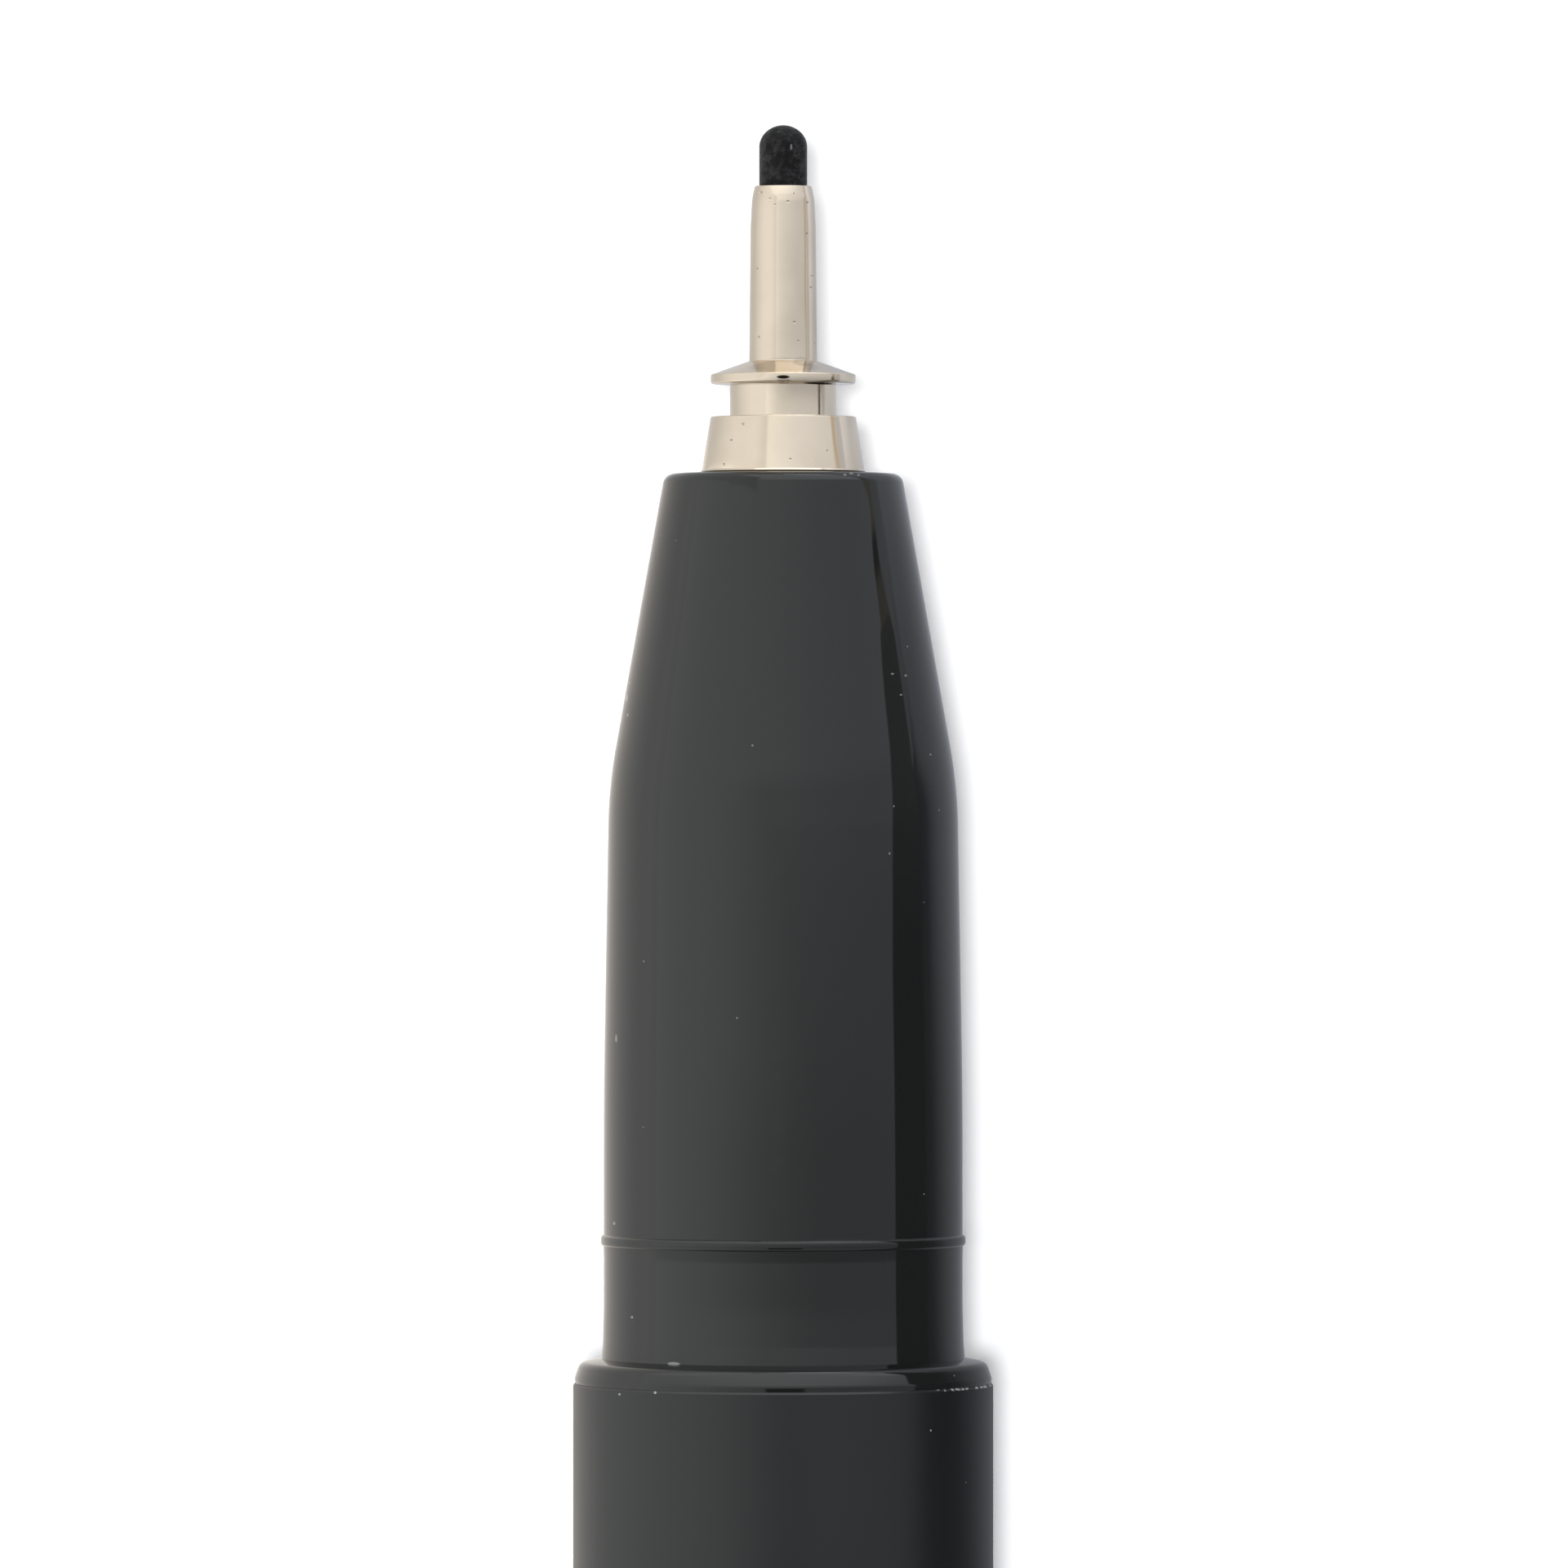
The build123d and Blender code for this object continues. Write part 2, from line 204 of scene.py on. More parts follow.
def given(tree, node, inputs):
    """A node with its inputs given, each as a plain value or as another node's output."""
    for socket, value in inputs.items():
        if isinstance(value, bpy.types.NodeSocket):
            tree.links.new(value, node.inputs[socket])
        else:
            node.inputs[socket].default_value = value
    return node


def added(tree, kind, inputs, **options):
    """One more node in a tree, with its inputs and options."""
    node = tree.nodes.new(kind)
    for option, value in options.items():
        setattr(node, option, value)
    return given(tree, node, inputs)


def noise(tree, where, scale, detail=2.0, roughness=0.5):
    """Soft cloudy noise, from 0 to 1, with the given number of patches to the metre."""
    inputs = {"Vector": where, "Scale": scale, "Detail": detail, "Roughness": roughness}
    return added(tree, "ShaderNodeTexNoise", inputs).outputs[0]


def figured(tree, operation, first, second=0.0, third=0.0):
    """Arithmetic on one, two or three values."""
    inputs = {0: first, 1: second, 2: third}
    return added(tree, "ShaderNodeMath", inputs, operation=operation).outputs[0]


def ranged(tree, value, low, high, to_low=0.0, to_high=1.0):
    """A value carried from one range to another, eased and held at the ends."""
    inputs = {"Value": value, 1: low, 2: high, 3: to_low, 4: to_high}
    return added(tree, "ShaderNodeMapRange", inputs, interpolation_type="SMOOTHSTEP").outputs[0]


def split(tree, where):
    """The X, Y and Z of a place, in metres."""
    return added(tree, "ShaderNodeSeparateXYZ", {0: where}).outputs


def specks(tree, where, scale, size, share):
    """Sparse round spots: one near each point of a scattered set, for a share of the points."""
    cells = added(tree, "ShaderNodeTexVoronoi", {"Vector": where, "Scale": scale})
    lot = added(tree, "ShaderNodeSeparateColor", {0: cells.outputs["Color"]}).outputs[0]
    near = ranged(tree, cells.outputs["Distance"], 0.6 * size, size, 1.0, 0.0)
    return figured(tree, "MULTIPLY", near, figured(tree, "LESS_THAN", lot, share))


def patches(tree, where, *places):
    """Single soft-edged patches, each given by its middle and its three half sizes."""
    total = 0.0
    for middle, sizes in places:
        reach = {0: where, 1: np.array(middle) * MM}
        reach = added(tree, "ShaderNodeVectorMath", reach, operation="SUBTRACT").outputs[0]
        reach = {0: reach, 1: np.array(sizes) * MM}
        reach = added(tree, "ShaderNodeVectorMath", reach, operation="DIVIDE").outputs[0]
        span = added(tree, "ShaderNodeVectorMath", {0: reach}, operation="LENGTH").outputs["Value"]
        total = figured(tree, "ADD", ranged(tree, span, 0.6, 1.0, 1.0, 0.0), total)
    return total


def tinted(tree, amount, plain, other):
    """A colour between two, by an amount from 0 to 1. A colour is three numbers or a socket."""
    plain, other = (
        colour if isinstance(colour, bpy.types.NodeSocket) else (*colour, 1.0)
        for colour in (plain, other)
    )
    mix = {0: amount, 6: plain, 7: other}
    return added(tree, "ShaderNodeMix", mix, data_type="RGBA").outputs[2]


def bumped(tree, height, depth, strength, under=None, invert=False):
    """A surface raised by a height of up to the depth in millimetres, over another such surface."""
    inputs = {"Height": height, "Distance": depth * MM, "Strength": strength}
    if under is not None:
        inputs["Normal"] = under
    return added(tree, "ShaderNodeBump", inputs, invert=invert).outputs[0]


gloss_black, tree, shader, place = finish("gloss_black")
# Pale flecks: some are specks of dust, and those on both flanks of the nose are painted glints,
# small highlights of droplets.
flecks_and_glints = patches(
    tree,
    place,
    ((-2.72, 0.60, 3.70), (0.20, 0.045, 0.4)),
    ((1.53, 22.60, 2.45), (0.05, 0.03, 0.2)),
    ((1.69, 22.64, 2.35), (0.06, 0.03, 0.2)),
    ((1.87, 22.60, 2.20), (0.04, 0.03, 0.2)),
    ((-3.75, 1.70, 2.46), (0.04, 0.04, 0.3)),
    ((-4.20, 4.00, 1.57), (0.04, 0.05, 0.3)),
    ((-4.15, 8.60, 1.64), (0.03, 0.12, 0.3)),
    ((-3.90, 17.08, 0.75), (0.05, 0.12, 0.3)),
    ((-3.83, 17.45, 0.75), (0.03, 0.03, 0.3)),
    ((-3.87, 16.65, 1.20), (0.03, 0.04, 0.3)),
    ((2.71, 17.66, 2.76), (0.05, 0.025, 0.2)),
    ((3.04, 17.62, 2.40), (0.04, 0.03, 0.2)),
    ((2.92, 17.14, 2.67), (0.04, 0.025, 0.2)),
    ((3.66, 15.66, 2.10), (0.03, 0.03, 0.2)),
    ((2.74, 14.38, 3.40), (0.02, 0.03, 0.2)),
    ((2.63, 13.21, 3.50), (0.03, 0.03, 0.2)),
)
# Pale marks: these flecks and painted glints, and scattered lint.
pale_marks = figured(tree, "MAXIMUM", flecks_and_glints, specks(tree, place, 2600.0, 0.075, 0.05))
cloud = noise(tree, place, 700.0)
# The moulding has sunk a little as it cooled, more on the nose than on the grip.
sink = noise(tree, place, 330.0, 1.0)
on_nose = ranged(tree, split(tree, place)["Y"], 0.012, 0.019, 0.12, 1.0)
ripple = bumped(tree, sink, 0.012, on_nose)
given(tree, shader, {
    "Base Color": tinted(tree, pale_marks, (0.0088, 0.0096, 0.0095), (0.19, 0.19, 0.18)),
    "Roughness": figured(tree, "MULTIPLY_ADD", cloud, 0.05, 0.035),
    "Normal": bumped(tree, pale_marks, 0.01, 0.5, ripple),
})
section.data.materials.append(gloss_black)
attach(section, "pen")
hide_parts("front_section")

# Nib holder: turned from nickel silver bar, with a tapered collar, a groove, a thin sloped flange
# and a tube whose mouth is swaged in round the nib. Its ringed spigot is pressed into the nose.
spigot_radius = 1.75
spigot_bore = 1.10
spigot_end = 17.36
ring_radius = 1.63
ring_width = 0.45
ring_starts = (18.935, 20.135, 21.335)
ring_corners = (
    (spigot_radius, 0),
    (ring_radius, 0),
    (ring_radius, ring_width),
    (spigot_radius, ring_width),
)
rings = [(radius, start + up, 0) for start in ring_starts for radius, up in ring_corners]
foot_radius = 2.06
collar_foot = nose_end + 0.06
groove_radius = 1.33
groove_start = 24.11
groove_end = 24.93
flange_radius = 1.81
tube_bore = 0.615
bore_step = 20.36
holder_profile = divided(outline(
    (spigot_bore, spigot_end, 0),
    (spigot_radius, spigot_end, 0.05),
    *rings,
    (spigot_radius, nose_end, 0),
    (foot_radius, nose_end, 0),
    (foot_radius, collar_foot, 0),
    (2.03, collar_foot + 0.04, 0.02),
    (1.815, groove_start, 0.03),
    (groove_radius, groove_start, 0.03),
    (groove_radius, groove_end, 0.03),
    (flange_radius, groove_end, 0.06),
    (flange_radius, 25.16, 0.03),
    (0.85, 25.50, 0.03),
    (0.815, 28.85, 5),
    (0.779, 29.56, 1.3),
    (0.71, 29.866, 0.02),
    (0.655, 29.885, 0),
    (0.63, 29.87, 0),
    (tube_bore, 29.83, 0),
    (tube_bore, bore_step, 0),
    (spigot_bore, bore_step, 0),
), 0.8)
holder = turned("point_holder", holder_profile)


def streaks(tree, where, counts):
    """Noise drawn out into streaks, with the given number of them to the metre on each axis."""
    stretched = added(tree, "ShaderNodeMapping", {0: where, "Scale": counts}).outputs[0]
    return noise(tree, stretched, 1.0, 3.0)


nickel_silver, tree, shader, place = finish("nickel_silver")
pits = patches(
    tree,
    place,
    ((-1.00, 23.89, 1.57), (0.045, 0.045, 0.2)),
    ((-1.30, 23.50, 1.44), (0.045, 0.045, 0.2)),
    ((0.18, 23.00, 2.0), (0.035, 0.035, 0.2)),
    ((1.10, 23.22, 1.65), (0.03, 0.03, 0.2)),
    ((-1.48, 22.89, 1.40), (0.035, 0.035, 0.2)),
    ((0.28, 26.45, 0.79), (0.035, 0.035, 0.2)),
    ((0.38, 25.98, 0.74), (0.03, 0.03, 0.2)),
    ((-0.55, 29.70, 0.50), (0.035, 0.04, 0.2)),
    ((-0.33, 29.54, 0.70), (0.04, 0.03, 0.2)),
    ((-0.20, 29.38, 0.76), (0.035, 0.03, 0.2)),
    ((0.12, 29.46, 0.77), (0.05, 0.035, 0.2)),
    ((0.27, 29.65, 0.71), (0.03, 0.03, 0.2)),
    ((0.60, 29.44, 0.50), (0.04, 0.04, 0.2)),
    ((0.59, 28.66, 0.56), (0.03, 0.035, 0.2)),
    ((0.73, 27.62, 0.39), (0.06, 0.02, 0.2)),
    ((0.69, 27.33, 0.46), (0.035, 0.03, 0.2)),
    ((-0.65, 27.80, 0.51), (0.03, 0.03, 0.2)),
    ((-0.61, 26.09, 0.58), (0.035, 0.035, 0.2)),
)
pits = figured(tree, "MAXIMUM", specks(tree, place, 5200.0, 0.16, 0.03), pits)
# A dark patch painted in the middle of the flange's rim: a painted dark reflection.
dark_rim_reflection = patches(tree, place, ((0.0, 25.05, 1.81), (0.20, 0.055, 0.2)))
# Painted shade darkens the joint round the collar's foot, a line under the flange's rim that is
# darker on the right, and the corner between the flange's slope and the tube, more on the right.
lengthwise = split(tree, place)["Y"]
joint_shade = ranged(tree, lengthwise, collar_foot * MM, (collar_foot - 0.004) * MM)
below_rim = ranged(tree, lengthwise, 24.955 * MM, 24.935 * MM, 0.0, 0.35)
above_wall = ranged(tree, lengthwise, 24.88 * MM, 24.90 * MM)
shade_under_flange = figured(tree, "MULTIPLY", below_rim, above_wall)
flange_shadow = patches(tree, place, ((1.0, 24.912, 1.25), (0.65, 0.03, 1.1)))
corner_shade = patches(tree, place, ((0.0, 25.34, 1.25), (1.0, 0.3, 0.9)))
side_shade = patches(tree, place, ((0.48, 25.42, 0.85), (0.32, 0.2, 0.5)))
corner_shade = figured(tree, "MULTIPLY_ADD", side_shade, 0.6, corner_shade)
# The pits, the painted shade and the painted reflection darken the colour together.
pits_shade_and_reflection = figured(tree, "MULTIPLY", figured(tree, "MAXIMUM", pits, corner_shade), 0.35)
for darker in (dark_rim_reflection, joint_shade, shade_under_flange, flange_shadow):
    pits_shade_and_reflection = figured(tree, "MAXIMUM", pits_shade_and_reflection, darker)
tarnish = noise(tree, place, 900.0, 3.0)
warm = tinted(tree, ranged(tree, tarnish, 0.35, 0.75), (0.80, 0.70, 0.57), (0.75, 0.65, 0.525))
tool_marks = bumped(tree, streaks(tree, place, (400.0, 16000.0, 400.0)), 0.0004, 0.6)
given(tree, shader, {
    "Base Color": tinted(tree, pits_shade_and_reflection, warm, (0.02, 0.014, 0.008)),
    "Metallic": 1.0,
    "Roughness": figured(tree, "MULTIPLY_ADD", tarnish, 0.10, 0.06),
    "Normal": bumped(tree, pits, 0.02, 0.5, tool_marks, invert=True),
})
holder.data.materials.append(nickel_silver)
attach(holder, "pen")
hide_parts("nib_holder")

# Nib: a stiff rod of bonded fibre with a ground dome, black with ink and finely porous. It runs
# through the holder's tube, and its spike at the back soaks in the ink rod.
nib_radius = 0.60
spike_end = 6.0
spike_base = 7.5
dome_base = 30.85
dome_height = 0.55
# The dome is a quarter ellipse: the radius follows a cosine and the height a sine.
quarter = np.linspace(0, np.pi / 2, 30)
dome = nib_radius * np.cos(quarter) + 1j * (dome_base + dome_height * np.sin(quarter))
dome[-1] = 1j * (dome_base + dome_height)
spike = outline((0, spike_end, 0), (0.25, spike_end, 0), (nib_radius, spike_base, 0))
nib = turned("fibre_nib", divided(np.r_[spike, dome], 0.8), full_turn[::2])
nib_fibre, tree, shader, place = finish("nib_fibre")
felted = noise(tree, place, 4600.0, 4.0, 0.65)
pores = specks(tree, place, 7000.0, 0.35, 0.25)
# A painted glint: a pale streak near the top of the dome, painted into the colour.
glint = patches(tree, place, ((0.20, 30.83, 0.57), (0.035, 0.09, 0.2)))
dry = ranged(tree, felted, 0.41, 0.65)
inked = tinted(tree, dry, (0.0008, 0.0008, 0.001), (0.02, 0.02, 0.0215))
inked = tinted(tree, pores, inked, (0.001, 0.001, 0.001))
fuzz = bumped(tree, felted, 0.03, 0.8)
given(tree, shader, {
    "Base Color": tinted(tree, glint, inked, (0.12, 0.12, 0.12)),
    "Roughness": 0.62,
    "Specular IOR Level": 0.22,
    "Sheen Weight": 0.12,
    "Sheen Roughness": 0.35,
    "Normal": bumped(tree, pores, 0.03, 0.7, fuzz, invert=True),
})
nib.data.materials.append(nib_fibre)
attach(nib, "pen")
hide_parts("nib")

# Ink rod: a bundle of fibre soaked with ink, slipped into the section and the barrel. The nib's
# spike pierces its front end, and a sleeve of thin clear film wraps it.
rod_end = -77.0
rod_radius = 3.19
film_inside = 3.2
film_outside = 3.3
pierced_end = 5.985
rod_profile = divided(outline(
    (0, rod_end, 0),
    (rod_radius, rod_end, 0.1),
    (rod_radius, rod_stop, 0.1),
    (tube_bore, rod_stop, 0),
    (tube_bore, spike_base, 0),
    (0.265, pierced_end, 0),
    (0, pierced_end, 0),
))
rod = turned("ink_rod", rod_profile, full_turn[::4])
ink_fibre, tree, shader, place = finish("ink_fibre")
strand = streaks(tree, place, (9000.0, 300.0, 9000.0))
given(tree, shader, {
    "Base Color": tinted(tree, strand, (0.002, 0.002, 0.003), (0.02, 0.02, 0.024)),
    "Roughness": 0.8,
    "Normal": bumped(tree, strand, 0.05, 0.8),
})
rod.data.materials.append(ink_fibre)
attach(rod, "pen")
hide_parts("reservoir_core")

sleeve_profile = divided(outline(
    (film_inside, rod_end, 0),
    (film_outside, rod_end, 0),
    (film_outside, rod_stop, 0),
    (film_inside, rod_stop, 0),
))
sleeve = turned("rod_sleeve", sleeve_profile, full_turn[::4])
clear_film, tree, shader, place = finish("clear_film")
crease = streaks(tree, place, (600.0, 60.0, 600.0))
given(tree, shader, {
    "Base Color": (0.92, 0.93, 0.94, 1.0),
    "Transmission Weight": 1.0,
    "Roughness": figured(tree, "MULTIPLY_ADD", crease, 0.15, 0.05),
    "Normal": bumped(tree, crease, 0.05, 0.5),
})
sleeve.data.materials.append(clear_film)
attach(sleeve, "pen")
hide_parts("reservoir_film")

# Barrel: a straight moulded tube in satin black plastic, a hair wider than the section's shoulder,
# with six long ribs inside that centre the ink rod. Section and tail plug are pressed into it.
barrel_length = 85.0
barrel_radius = 5.25
barrel_bore = 4.35
broken_edge = 0.055
rib_radius = 3.35
rib_count = 6
rib_half_angle = 0.09
rib_front = -12.0
rib_back = -75.0
rib_slope = 0.02
barrel_profile = divided(outline(
    (barrel_bore, -barrel_length, 0),
    (barrel_radius, -barrel_length, 0.06),
    (barrel_radius, seam_place - broken_edge, 0),
    (shoulder_radius, seam_place, 0),
    (barrel_bore, seam_place, 0),
    (barrel_bore, rib_front + rib_slope, 0),
    (barrel_bore, rib_front - rib_slope, 0),
    (barrel_bore, rib_back + rib_slope, 0),
    (barrel_bore, rib_back - rib_slope, 0),
    (barrel_bore, -barrel_length + 1.0, 0),
))
in_bore = barrel_profile.real < barrel_bore + 0.01
ribbed = in_bore & (barrel_profile.imag < rib_front) & (barrel_profile.imag > rib_back)
on_rib = np.cos(rib_count * (full_turn - np.pi / 2)) > np.cos(rib_count * rib_half_angle)
barrel_wall = np.where(ribbed[:, None] & on_rib, rib_radius, barrel_profile.real[:, None])
barrel = turned("barrel_tube", barrel_wall + 1j * barrel_profile.imag[:, None])
satin_black, tree, shader, place = finish("satin_black")
# Torn flash from the mould shows as a broken pale line on the rim, on one side only.
rim = split(tree, place)
torn = ranged(tree, rim["Y"], -0.000105, -0.000085)
torn = figured(tree, "MULTIPLY", torn, ranged(tree, rim["Z"], 0.0, 0.0004))
torn = figured(tree, "MULTIPLY", torn, ranged(tree, rim["X"], 0.0036, 0.0040))
torn = figured(tree, "MULTIPLY", torn, ranged(tree, noise(tree, place, 5200.0), 0.46, 0.54))
dust = patches(
    tree,
    place,
    ((-3.16, -0.09, 4.19), (0.04, 0.04, 0.3)),
    ((-4.05, -0.17, 3.34), (0.035, 0.03, 0.3)),
)
pale_marks = figured(tree, "MAXIMUM", torn, dust)
pale_marks = figured(tree, "MAXIMUM", pale_marks, specks(tree, place, 2200.0, 0.075, 0.08))
handled = noise(tree, place, 420.0, 3.0)
grain = bumped(tree, noise(tree, place, 14000.0), 0.0012, 0.5)
given(tree, shader, {
    "Base Color": tinted(tree, pale_marks, (0.0062, 0.0072, 0.0078), (0.30, 0.31, 0.30)),
    "Specular IOR Level": 0.52,
    "Roughness": figured(tree, "MULTIPLY_ADD", handled, 0.08, 0.30),
    "Normal": bumped(tree, pale_marks, 0.01, 0.5, grain),
})
barrel.data.materials.append(satin_black)
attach(barrel, "pen")
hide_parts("barrel")

# Tail plug: a cup-shaped moulding in the same glossy black as the section, pressed into the
# barrel's rear end. What stands out of the barrel is the post, with the same seat for the cap.
post_end = 11.5
cup_floor = 10.3
cup_bore = 2.6
plug_profile = divided(np.r_[
    outline(
        (0, cup_floor, 0),
        (cup_bore, cup_floor, 0),
        (cup_bore, -8.0, 0),
        (lead_in_radius, -8.0, 0),
        (press_radius, -7.5, 0),
        (press_radius, 0, 0),
    ),
    seat_for_cap(0),
    outline(
        (seat_radius, past_bead, 0),
        (seat_radius, post_end, 1.2),
        (0, post_end, 0),
    ),
])
# The tail's profile is the seat turned end for end, so its places count backwards from the barrel.
plug = turned("tail_moulding", (plug_profile.conj() - 1j * barrel_length)[::-1])
plug.data.materials.append(gloss_black)
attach(plug, "pen")
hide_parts("tail_plug")

# Cap: a drafted tube moulded in satin black, posted on the tail with its mouth on the shoulder.
# It has a snap ring inside the mouth, a seat for the sealing cup, and a notch for the clip's hook.
cap_mouth = -85.645
cap_length = 38.0
cap_bore = 4.65
cup_seat = 4.26
crown_seat = 4.0
snap_height = 0.06
snap_half_width = 0.2
snap_place = 2.445
clip_turn = np.radians(90 + 26.2345)
notch_half_width = 2.45
notch_inner = 2.95
notch_depth = 0.99
notch_gap = 0.004


def posted(profile):
    """A profile in the cap's own depths, from the mouth to the crown, put on the pen's tail."""
    return (profile.conj() + 1j * cap_mouth)[::-1]


# The snap ring's height is one less the square of the distance from its crest.
across = np.linspace(-1, 1, 29)
snap_ring = cap_bore - snap_height * (1 - across**2) + 1j * (snap_place - snap_half_width * across)
cap_profile = divided(np.r_[
    outline(
        (0, 33.3, 0),
        (cup_seat, 33.3, 0),
        (cup_seat, 20.0, 0.1),
        (cap_bore, 20.0, 0.1),
        (cap_bore, 2.7, 0),
    ),
    snap_ring,
    outline(
        (cap_bore, 2.2, 0),
        (cap_bore, 0.12, 0),
        (4.77, 0, 0),
        (barrel_radius, 0, 0.15),
        (5.05, cap_length, 0.08),
        (crown_seat, cap_length, 0.05),
        (crown_seat, 34.3, 0),
        (0, 34.3, 0),
    ),
])
cap_end_rows = (cap_profile.imag > cap_length - 0.2)[::-1]
cap_profile = posted(cap_profile)
# Columns are spread so that two pairs of them follow the notch's straight sides at every radius.
notch_side = np.arcsin(notch_half_width / np.maximum(abs(cap_profile.real), notch_inner))[:, None]
inside = np.linspace(-1, 1, 41)
outside = np.linspace(0, 1, 217)
notch_columns = notch_side * inside
plain_columns = notch_side + notch_gap + (2 * np.pi - 2 * notch_side - 2 * notch_gap) * outside
cap_angle = clip_turn + np.concatenate([notch_columns, plain_columns], axis=1)
in_notch = np.append(np.ones(inside.size, bool), np.zeros(outside.size, bool))
cap_wall = cap_profile[:, None] + 1j * notch_depth * (cap_end_rows[:, None] & in_notch)
cap = turned("cap_moulding", cap_wall, cap_angle)
cap.data.materials.append(satin_black)
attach(cap, "cap")
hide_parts("cap_shell")

# Sealing cup: a soft, milky inner cap pressed into the cap, with a rounded lip that closes on the
# nose when the cap is on the nib. Four flutes outside let air pass.
flute_count = 4
flute_half_angle = 0.141
flute_depth = 0.35
cup_profile = divided(outline(
    (0, 32.3, 0),
    (3.3, 32.3, 0.2),
    (3.3, 20.05, 0.3),
    (4.25, 20.05, 0.05),
    (4.25, 33.3, 0.05),
    (0, 33.3, 0),
))
cup_outside = (cup_profile.real > 4.1)[::-1]
on_flute = np.cos(flute_count * (full_turn - clip_turn)) > np.cos(flute_count * flute_half_angle)
cup_wall = posted(cup_profile)[:, None] - flute_depth * (cup_outside[:, None] & on_flute)
cup = turned("sealing_cup", cup_wall)
milky_cup, tree, shader, place = finish("milky_cup")
flow = noise(tree, place, 350.0)
given(tree, shader, {
    "Base Color": tinted(tree, flow, (0.70, 0.70, 0.66), (0.76, 0.76, 0.73)),
    "Roughness": figured(tree, "MULTIPLY_ADD", flow, 0.15, 0.35),
    "Subsurface Weight": 0.3,
    "Subsurface Radius": (0.001, 0.001, 0.0009),
})
cup.data.materials.append(milky_cup)
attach(cup, "cap")
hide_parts("inner_cap")

# Clip: one strip of sprung metal, blanked with a round tip and bent: a hook that the crown traps in
# the cap's end, a straight arm, a dip that presses on the cap, and a turned-up tip.
clip_thickness = 0.7
clip_edge = 0.12
tip_half_width = 2.0
root_half_width = 2.4
tip_depth = 5.2
least_half_width = 0.02
clip_path = outline(
    (3.05, 37.60, 0),
    (6.60, 37.60, 0.85),
    (6.60, 12.0, 6.0),
    (5.65, 7.6, 1.2),
    (6.55, tip_depth, 0),
)
# Towards the tip the rows close up as a sine does, so that they follow its round evenly.
last_bend, tip = clip_path[-2:]
tip_run = np.sin(np.linspace(0, np.pi / 2, 48))[1:]
clip_path = np.r_[divided(clip_path[:-1], 0.25), last_bend + (tip - last_bend) * tip_run]
# Half the width grows evenly from the tip's round to the root; the round is half a circle.
ball = tip_depth + tip_half_width
taper = (root_half_width - tip_half_width) / (cap_length - ball)
before_ball = np.maximum(ball - clip_path.imag, 0)
past_ball = np.maximum(clip_path.imag - ball, 0)
round_tip = np.sqrt(np.maximum(tip_half_width**2 - before_ball**2, least_half_width**2))
half_width = round_tip + taper * past_ball
# The strip's cross-section is a rectangle with a quarter circle at each of its four corners.
swing = (np.arange(4)[:, None] * np.pi / 2 + np.linspace(0, np.pi / 2, 6)).ravel()
side = np.repeat([1, -1, -1, 1], 6)
face = np.repeat([1, 1, -1, -1], 6)
edge = np.minimum(clip_edge, 0.8 * half_width)[:, None]
lateral = (half_width[:, None] - edge) * side + edge * np.cos(swing)
rise = (clip_thickness / 2 - clip_edge) * face + clip_edge * np.sin(swing)
forward = np.gradient(clip_path)
clip_point = clip_path[:, None] + (1j * forward / abs(forward))[:, None] * rise
out_of_axis = np.array([np.sin(clip_turn), 0, np.cos(clip_turn)])
along_edge = np.array([np.cos(clip_turn), 0, -np.sin(clip_turn)])
clip_points = (
    clip_point.real[..., None] * out_of_axis
    + (cap_mouth - clip_point.imag)[..., None] * np.array([0, 1, 0])
    + lateral[..., None] * along_edge
)
number = np.arange(lateral.size).reshape(lateral.shape)
ahead = number[1:]
behind = number[:-1]
strip = np.stack([behind, ahead, np.roll(ahead, -1, 1), np.roll(behind, -1, 1)], axis=-1)
clip_faces = strip.reshape(-1, 4).tolist() + [number[0].tolist(), number[-1, ::-1].tolist()]
clip = meshed("pocket_strip", clip_points.reshape(-1, 3), clip_faces)
sprung_metal, tree, shader, place = finish("sprung_metal")
drawn_lines = streaks(tree, place, (7000.0, 120.0, 7000.0))
smudge = noise(tree, place, 300.0, 3.0)
given(tree, shader, {
    "Base Color": tinted(tree, smudge, (0.64, 0.57, 0.48), (0.58, 0.51, 0.42)),
    "Metallic": 1.0,
    "Roughness": figured(tree, "MULTIPLY_ADD", smudge, 0.16, 0.10),
    "Normal": bumped(tree, drawn_lines, 0.0008, 0.6),
})
clip.data.materials.append(sprung_metal)
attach(clip, "clip")
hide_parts("clip")

# Crown: a domed button in glossy black. Its stem is pressed into the cap's end, and is slotted on
# one side so that it traps the clip's hook.
stem_radius = 3.99
stem_end = 34.8
slot_start = 37.01
slot_step = 0.01
crown_radius = 5.0
crown_top = 39.9
crown_profile = divided(np.r_[
    outline(
        (0, stem_end, 0),
        (stem_radius, stem_end, 0.15),
        (stem_radius, slot_start - slot_step, 0),
        (stem_radius, slot_start + slot_step, 0),
        (stem_radius, cap_length, 0),
        (crown_radius, cap_length, 0.06),
        (crown_radius, 38.6, 0),
    ),
    bend(3.2 + 1j * crown_top, crown_radius + 38.7j, 1, 24)[::-1],
    1j * crown_top,
])
on_stem = (crown_profile.real < crown_seat) & (crown_profile.imag < cap_length + slot_step)
slotted = (on_stem & (crown_profile.imag > slot_start))[::-1]
crown_profile = posted(crown_profile)[:, None]
from_clip = np.angle(np.exp(1j * (full_turn - clip_turn)))
slot_flat = notch_inner / np.maximum(np.cos(from_clip), 0.5)
slot_angle = np.arctan2(notch_half_width, notch_inner)
slot_wall = np.where(abs(from_clip) < slot_angle, np.minimum(slot_flat, stem_radius), stem_radius)
crown_wall = np.where(slotted[:, None], slot_wall, crown_profile.real)
crown = turned("crown_button", crown_wall + 1j * crown_profile.imag)
crown.data.materials.append(gloss_black)
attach(crown, "cap")
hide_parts("cap_crown")
